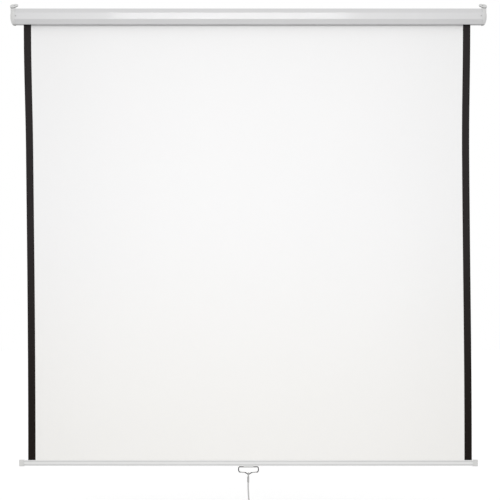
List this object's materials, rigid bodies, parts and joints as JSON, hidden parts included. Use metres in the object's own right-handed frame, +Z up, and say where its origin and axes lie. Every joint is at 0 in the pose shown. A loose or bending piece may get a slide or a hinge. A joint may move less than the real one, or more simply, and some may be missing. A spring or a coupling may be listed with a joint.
{
  "type": "projection screen",
  "caption": "Manual pull-down projection screen: matt white sheet with black side borders, eight-sided wall case, weight bar, wire handle and pull cord.",
  "frame": {"origin": "middle of the case's flat back, on the wall that it hangs against", "axes": "+X along the case to the viewer's right, +Y into the wall, +Z up; the sheet faces -Y"},
  "size_m": [1.923, 0.0675, 2.2123],
  "materials": {
    "case_paint": "off-white satin stove enamel",
    "cap_plastic": "light grey moulded plastic",
    "sheet_white": "matt white coated sheet",
    "border_black": "matt black coating",
    "bar_paint": "off-white satin paint",
    "sleeve_plastic": "light grey moulded plastic",
    "plated_steel": "zinc plated",
    "spring_steel": "oiled spring wire",
    "hard_steel": "pressed steel",
    "nylon": "natural nylon",
    "handle_wire": "dark plated steel wire",
    "cord_braid": "light grey braided cord"
  },
  "bodies": {
    "housing": {"case": "case_paint", "left_end_cap": "cap_plastic", "right_end_cap": "cap_plastic", "end_cap_screws": "plated_steel", "idler_bush": "nylon", "spring_spindle": "plated_steel", "spring_collar": "hard_steel", "torsion_spring": "spring_steel", "ratchet_wheel": "hard_steel", "spindle_clip": "plated_steel", "screen_sheet": "sheet_white", "left_border": "border_black", "right_border": "border_black"},
    "roller": {"roller_tube": "plated_steel", "sheet_wrap": "sheet_white", "idler_plug": "nylon", "idler_pin": "plated_steel", "ratchet_plug": "nylon", "pawl_pin": "plated_steel", "spring_plug": "nylon"},
    "pawl": {"ratchet_pawl": "hard_steel"},
    "bar": {"weight_bar": "bar_paint", "left_bar_sleeve": "sleeve_plastic", "right_bar_sleeve": "sleeve_plastic", "sheet_hem": "sheet_white", "hem_rod": "nylon", "handle_clip": "sleeve_plastic"},
    "handle": {"handle_bail": "handle_wire"},
    "cord": {"cord_hitch": "cord_braid", "pull_cord": "cord_braid", "cord_end_knot": "cord_braid"}
  },
  "joints": [
    {"name": "bar_slide", "type": "slide", "parent": "housing", "child": "bar", "axis": [0, 0, 1], "range_m": [0, 1.7496], "deforming": ["screen_sheet", "left_border", "right_border"]},
    {"name": "roller_spin", "type": "hinge", "parent": "housing", "child": "roller", "pos_m": [0, -0.04004, 0], "axis": [1, 0, 0], "range_deg": [0, 5401]},
    {"name": "pawl_swing", "type": "hinge", "parent": "roller", "child": "pawl", "pos_m": [-0.9099, -0.02982, -0.00481], "axis": [-1, 0, 0], "range_deg": [0, 16]},
    {"name": "handle_swing", "type": "hinge", "parent": "bar", "child": "handle", "pos_m": [0, -0.02409, -1.81185], "axis": [1, 0, 0], "range_deg": [-90, 90]},
    {"name": "cord_swing", "type": "hinge", "parent": "handle", "child": "cord", "pos_m": [0, -0.02409, -1.84184], "axis": [1, 0, 0], "range_deg": [-60, 60]}
  ],
  "couplings": [
    {"joint": "roller_spin", "follows": "bar_slide", "rad_per_m": 53.868}
  ]
}
